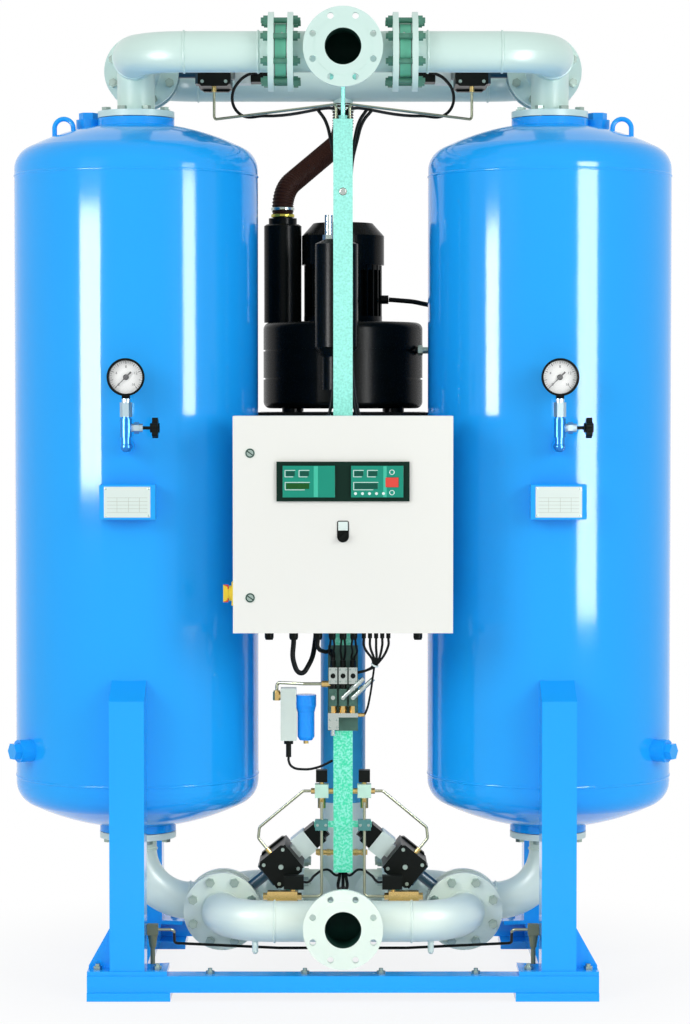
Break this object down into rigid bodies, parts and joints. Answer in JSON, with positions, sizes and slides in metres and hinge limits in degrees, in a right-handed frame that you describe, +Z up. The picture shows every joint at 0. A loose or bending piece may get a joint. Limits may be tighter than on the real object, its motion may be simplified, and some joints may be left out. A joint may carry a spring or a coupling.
{
  "type": "desiccant air dryer",
  "caption": "Twin vessel desiccant dryer for compressed air: flanged pipework with switching valves, blower regeneration, control cabinet and gauges on a welded base.",
  "frame": {"origin": "on the floor at the centre of the four anchor holes, in the plane of the two vessel axes", "axes": "+X to the right seen from the cabinet door, +Y to the back, +Z up"},
  "size_m": [1.8978, 1.1461, 2.7326],
  "materials": {
    "azure_paint": "gloss blue paint",
    "desiccant": "packed bead bed with steel screens",
    "gasket_rubber": "pressed fibre",
    "zinc_steel": "zinc plated",
    "pipe_paint": "light grey paint",
    "valve_paint": "dark blue-green paint",
    "steel": "stainless",
    "black_plastic": "moulded",
    "black_paint": "black paint",
    "aluminium_rotor": "cast",
    "hose_rubber": "red-brown ribbed hose",
    "cable_rubber": "black sheath",
    "filter_plastic": "white body with a blue bowl",
    "brass": "machined",
    "cream_paint": "textured off-white powder coat",
    "red_plastic": "moulded",
    "yellow_plastic": "moulded",
    "clear_glass": "clear"
  },
  "bodies": {
    "skid": {"base_frame": "azure_paint", "support_legs": "azure_paint", "left_vessel": "azure_paint", "right_vessel": "azure_paint", "lifting_eyes": "azure_paint", "port_plugs": "azure_paint", "heater_tube": "azure_paint", "desiccant_beds": "desiccant", "flange_gaskets": "gasket_rubber", "flange_bolts": "zinc_steel", "centre_post": "zinc_steel", "control_gear": "zinc_steel", "outlet_manifold": "pipe_paint", "left_top_spool": "pipe_paint", "right_top_spool": "pipe_paint", "upper_regen_manifold": "pipe_paint", "inlet_manifold": "pipe_paint", "left_bottom_spool": "pipe_paint", "right_bottom_spool": "pipe_paint", "lower_regen_manifold": "pipe_paint", "check_valves": "valve_paint", "butterfly_valves": "valve_paint", "pilot_tubes": "steel", "pilot_manifold": "steel", "gauge_valves": "steel", "valve_actuators": "black_plastic", "cable_glands": "black_plastic", "blower_stand": "black_paint", "blower_housing": "black_paint", "blower_motor": "black_paint", "fan_cowl": "black_paint", "blower_silencers": "black_paint", "gauge_cases": "black_paint", "hot_air_hose": "hose_rubber", "control_cables": "cable_rubber", "pilot_filter": "filter_plastic", "pilot_valves": "brass", "cabinet_box": "cream_paint", "main_switch_plate": "yellow_plastic", "gauge_lenses": "clear_glass"},
    "door": {"cabinet_door": "cream_paint", "display_panel": "black_plastic"},
    "upper_lock": {"upper_lock": "zinc_steel"},
    "lower_lock": {"lower_lock": "zinc_steel"},
    "selector": {"selector_knob": "black_plastic"},
    "stop_key": {"stop_key": "red_plastic"},
    "main_switch": {"main_switch_handle": "red_plastic"},
    "left_needle": {"left_needle": "black_paint"},
    "right_needle": {"right_needle": "black_paint"},
    "left_handwheel": {"left_handwheel": "black_plastic"},
    "right_handwheel": {"right_handwheel": "black_plastic"},
    "left_outlet_flap": {"left_outlet_flap": "steel"},
    "right_outlet_flap": {"right_outlet_flap": "steel"},
    "left_regen_flap": {"left_regen_flap": "steel"},
    "right_regen_flap": {"right_regen_flap": "steel"},
    "left_inlet_disc": {"left_inlet_disc": "steel"},
    "right_inlet_disc": {"right_inlet_disc": "steel"},
    "left_exhaust_disc": {"left_exhaust_disc": "steel"},
    "right_exhaust_disc": {"right_exhaust_disc": "steel"},
    "rotor": {"blower_rotor": "aluminium_rotor"}
  },
  "joints": [
    {"name": "door_hinge", "type": "hinge", "parent": "skid", "child": "door", "pos_m": [0.2958, -0.492, 1.018], "axis": [0, 0, 1], "range_deg": [0, 120]},
    {"name": "upper_lock_turn", "type": "hinge", "parent": "door", "child": "upper_lock", "pos_m": [-0.253, -0.509, 1.509], "axis": [0, 1, 0], "range_deg": [0, 90]},
    {"name": "lower_lock_turn", "type": "hinge", "parent": "door", "child": "lower_lock", "pos_m": [-0.253, -0.509, 1.115], "axis": [0, 1, 0], "range_deg": [0, 90]},
    {"name": "selector_turn", "type": "hinge", "parent": "door", "child": "selector", "pos_m": [0, -0.509, 1.282], "axis": [0, 1, 0], "range_deg": [-90, 0]},
    {"name": "stop_key_press", "type": "slide", "parent": "door", "child": "stop_key", "axis": [0, 1, 0], "range_m": [0, 0.002], "stiffness_N_per_m": 400},
    {"name": "main_switch_turn", "type": "hinge", "parent": "skid", "child": "main_switch", "pos_m": [-0.3, -0.414, 1.121], "axis": [1, 0, 0], "range_deg": [0, 90]},
    {"name": "left_needle_turn", "type": "hinge", "parent": "skid", "child": "left_needle", "pos_m": [-0.595, -0.438, 1.716], "axis": [0, 1, 0], "range_deg": [0, 270], "stiffness_Nm_per_rad": 0.002},
    {"name": "left_handwheel_turn", "type": "hinge", "parent": "skid", "child": "left_handwheel", "pos_m": [-0.595, -0.438, 1.577], "axis": [1, 0, 0], "range_deg": [0, 900]},
    {"name": "right_needle_turn", "type": "hinge", "parent": "skid", "child": "right_needle", "pos_m": [0.595, -0.438, 1.716], "axis": [0, 1, 0], "range_deg": [0, 270], "stiffness_Nm_per_rad": 0.002},
    {"name": "right_handwheel_turn", "type": "hinge", "parent": "skid", "child": "right_handwheel", "pos_m": [0.595, -0.438, 1.577], "axis": [1, 0, 0], "range_deg": [0, 900]},
    {"name": "left_outlet_flap_swing", "type": "hinge", "parent": "skid", "child": "left_outlet_flap", "pos_m": [-0.169, -0.27, 2.66664], "axis": [0, -1, 0], "range_deg": [0, 60], "stiffness_Nm_per_rad": 0.2, "springref_deg": -22.92},
    {"name": "left_regen_flap_swing", "type": "hinge", "parent": "skid", "child": "left_regen_flap", "pos_m": [-0.154, 0.212, 0.24436], "axis": [0, 1, 0], "range_deg": [0, 60], "stiffness_Nm_per_rad": 0.2, "springref_deg": -22.92},
    {"name": "left_inlet_valve_turn", "type": "hinge", "parent": "skid", "child": "left_inlet_disc", "pos_m": [-0.343, -0.148, 0.20036], "axis": [0.7771, 0, 0.6293], "range_deg": [0, 90]},
    {"name": "left_exhaust_valve_turn", "type": "hinge", "parent": "skid", "child": "left_exhaust_disc", "pos_m": [-0.595, 0.276, 2.62264], "axis": [1, 0, 0], "range_deg": [0, 90]},
    {"name": "right_outlet_flap_swing", "type": "hinge", "parent": "skid", "child": "right_outlet_flap", "pos_m": [0.169, -0.27, 2.66664], "axis": [0, 1, 0], "range_deg": [0, 60], "stiffness_Nm_per_rad": 0.2, "springref_deg": -22.92},
    {"name": "right_regen_flap_swing", "type": "hinge", "parent": "skid", "child": "right_regen_flap", "pos_m": [0.154, 0.212, 0.24436], "axis": [0, -1, 0], "range_deg": [0, 60], "stiffness_Nm_per_rad": 0.2, "springref_deg": -22.92},
    {"name": "right_inlet_valve_turn", "type": "hinge", "parent": "skid", "child": "right_inlet_disc", "pos_m": [0.343, -0.148, 0.20036], "axis": [-0.7771, 0, 0.6293], "range_deg": [0, 90]},
    {"name": "right_exhaust_valve_turn", "type": "hinge", "parent": "skid", "child": "right_exhaust_disc", "pos_m": [0.595, 0.276, 2.62264], "axis": [-1, 0, 0], "range_deg": [0, 90]},
    {"name": "rotor_spin", "type": "hinge", "parent": "skid", "child": "rotor", "pos_m": [0, 0.33, 1.758], "axis": [0, 0, 1], "continuous": true}
  ]
}
